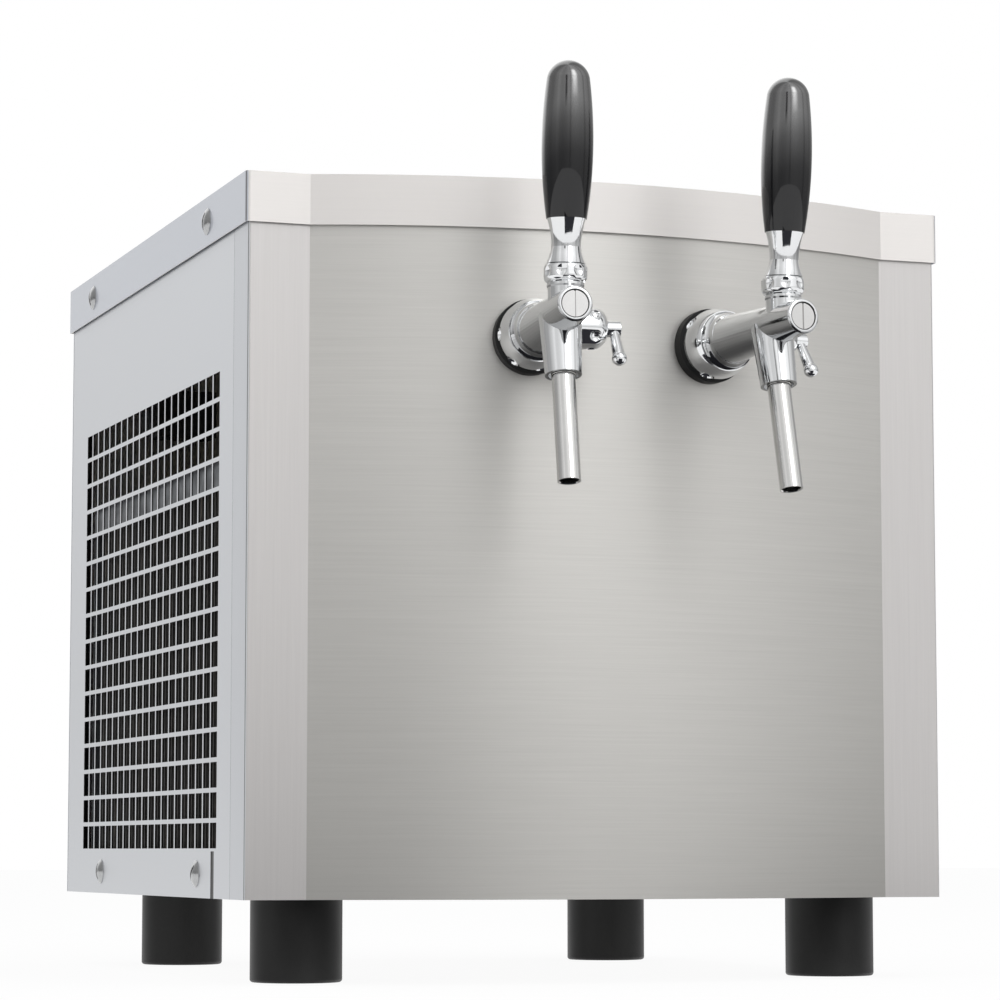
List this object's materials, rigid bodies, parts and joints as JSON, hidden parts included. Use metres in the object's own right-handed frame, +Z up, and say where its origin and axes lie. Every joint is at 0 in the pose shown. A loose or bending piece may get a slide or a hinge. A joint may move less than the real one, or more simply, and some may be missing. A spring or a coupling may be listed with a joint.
{
  "type": "draft beer cooler",
  "caption": "Countertop draft beer cooler: stainless cabinet with a bowed front, punched side grille, compensator taps and rubber feet.",
  "frame": {"origin": "on the floor the feet stand on, under the middle of the whole object: half way across, and half way from the tips of the taps to the ends of the beer inlets", "axes": "+Z up; -Y to the front, where the taps are; +X to the right as seen from the front"},
  "size_m": [0.4714, 0.6598, 0.544],
  "materials": {
    "stainless_sheet": "satin",
    "brushed_front": "brushed",
    "screw_steel": "polished",
    "black_rubber": "matt",
    "zinc_sheet": "galvanised",
    "condenser_black": "black",
    "fan_aluminium": "bare",
    "motor_black": "black paint",
    "cast_block": "cast",
    "foam": "foamed",
    "line_steel": "smooth",
    "refrigerant_pipe": "copper",
    "fitting_chrome": "polished",
    "tap_chrome": "polished",
    "grip_black": "gloss",
    "white_plastic": "smooth",
    "black_plastic": "moulded",
    "rocker_plastic": "gloss",
    "brass_nut": "machined"
  },
  "bodies": {
    "cabinet": {"base_tray": "stainless_sheet", "front_panel": "brushed_front", "left_side_panel": "stainless_sheet", "right_side_panel": "stainless_sheet", "rear_panel": "stainless_sheet", "lid": "stainless_sheet", "lid_screws": "screw_steel", "side_screws": "screw_steel", "rear_screws": "screw_steel", "feet": "black_rubber", "foot_bolts": "screw_steel", "condenser_frame": "zinc_sheet", "condenser_fins": "condenser_black", "fan_shroud": "zinc_sheet", "fan_motor": "motor_black", "fan_bracket": "zinc_sheet", "compressor": "motor_black", "compressor_grommets": "black_rubber", "cold_block": "cast_block", "insulation": "foam", "beer_lines": "line_steel", "discharge_line": "refrigerant_pipe", "suction_line": "refrigerant_pipe", "liquid_line": "refrigerant_pipe", "inlet_fittings": "fitting_chrome", "inlet_nuts": "fitting_chrome", "thermostat": "black_plastic", "power_switch": "black_plastic", "cord_gland": "black_plastic", "lock_nuts": "brass_nut", "left_gasket": "black_rubber", "left_rosette": "tap_chrome", "left_tap_body": "tap_chrome", "left_front_plug": "tap_chrome", "left_spout": "tap_chrome", "left_top_nut": "tap_chrome", "left_side_nut": "tap_chrome", "right_gasket": "black_rubber", "right_rosette": "tap_chrome", "right_tap_body": "tap_chrome", "right_front_plug": "tap_chrome", "right_spout": "tap_chrome", "right_top_nut": "tap_chrome", "right_side_nut": "tap_chrome"},
    "fan": {"fan_rotor": "fan_aluminium"},
    "knob": {"thermostat_knob": "black_plastic"},
    "rocker": {"switch_rocker": "rocker_plastic"},
    "left_handle": {"left_ball_lever": "tap_chrome", "left_ferrule": "tap_chrome", "left_grip": "grip_black"},
    "left_piston": {"left_piston": "white_plastic"},
    "left_flow_lever": {"left_side_lever": "tap_chrome"},
    "left_cone": {"left_flow_cone": "white_plastic"},
    "right_handle": {"right_ball_lever": "tap_chrome", "right_ferrule": "tap_chrome", "right_grip": "grip_black"},
    "right_piston": {"right_piston": "white_plastic"},
    "right_flow_lever": {"right_side_lever": "tap_chrome"},
    "right_cone": {"right_flow_cone": "white_plastic"}
  },
  "joints": [
    {"name": "left_handle_tilt", "type": "hinge", "parent": "cabinet", "child": "left_handle", "pos_m": [-0.07064, -0.30502, 0.41118], "axis": [0.9934, -0.1149, 0], "range_deg": [-10, 22]},
    {"name": "left_piston_slide", "type": "slide", "parent": "cabinet", "child": "left_piston", "axis": [0.1149, 0.9928, -0.0332], "range_m": [-0.00157, 0.00344]},
    {"name": "left_flow_turn", "type": "hinge", "parent": "cabinet", "child": "left_flow_lever", "pos_m": [-0.02178, -0.25684, 0.3944], "axis": [0.9934, -0.1149, 0], "range_deg": [-50, 40]},
    {"name": "left_cone_slide", "type": "slide", "parent": "cabinet", "child": "left_cone", "axis": [0.1149, 0.9928, -0.0332], "range_m": [-0.00159, 0.00128]},
    {"name": "right_handle_tilt", "type": "hinge", "parent": "cabinet", "child": "right_handle", "pos_m": [0.06884, -0.30502, 0.41118], "axis": [0.9934, 0.1149, 0], "range_deg": [-10, 22]},
    {"name": "right_piston_slide", "type": "slide", "parent": "cabinet", "child": "right_piston", "axis": [-0.1149, 0.9928, -0.0332], "range_m": [-0.00157, 0.00344]},
    {"name": "right_flow_turn", "type": "hinge", "parent": "cabinet", "child": "right_flow_lever", "pos_m": [0.10541, -0.24696, 0.3944], "axis": [0.9934, 0.1149, 0], "range_deg": [-50, 40]},
    {"name": "right_cone_slide", "type": "slide", "parent": "cabinet", "child": "right_cone", "axis": [-0.1149, 0.9928, -0.0332], "range_m": [-0.00159, 0.00128]},
    {"name": "fan_spin", "type": "hinge", "parent": "cabinet", "child": "fan", "pos_m": [-0.19, -0.01605, 0.187], "axis": [1, 0, 0], "continuous": true},
    {"name": "knob_turn", "type": "hinge", "parent": "cabinet", "child": "knob", "pos_m": [-0.15, 0.30795, 0.401], "axis": [0, 1, 0], "range_deg": [-135, 135]},
    {"name": "rocker_tilt", "type": "hinge", "parent": "cabinet", "child": "rocker", "pos_m": [-0.07, 0.30595, 0.401], "axis": [1, 0, 0], "range_deg": [-16, 0]}
  ],
  "couplings": [
    {"joint": "left_piston_slide", "follows": "left_handle_tilt", "m_per_rad": 0.0089},
    {"joint": "left_cone_slide", "follows": "left_flow_turn", "m_per_rad": 0.0018},
    {"joint": "right_piston_slide", "follows": "right_handle_tilt", "m_per_rad": 0.0089},
    {"joint": "right_cone_slide", "follows": "right_flow_turn", "m_per_rad": 0.0018}
  ]
}
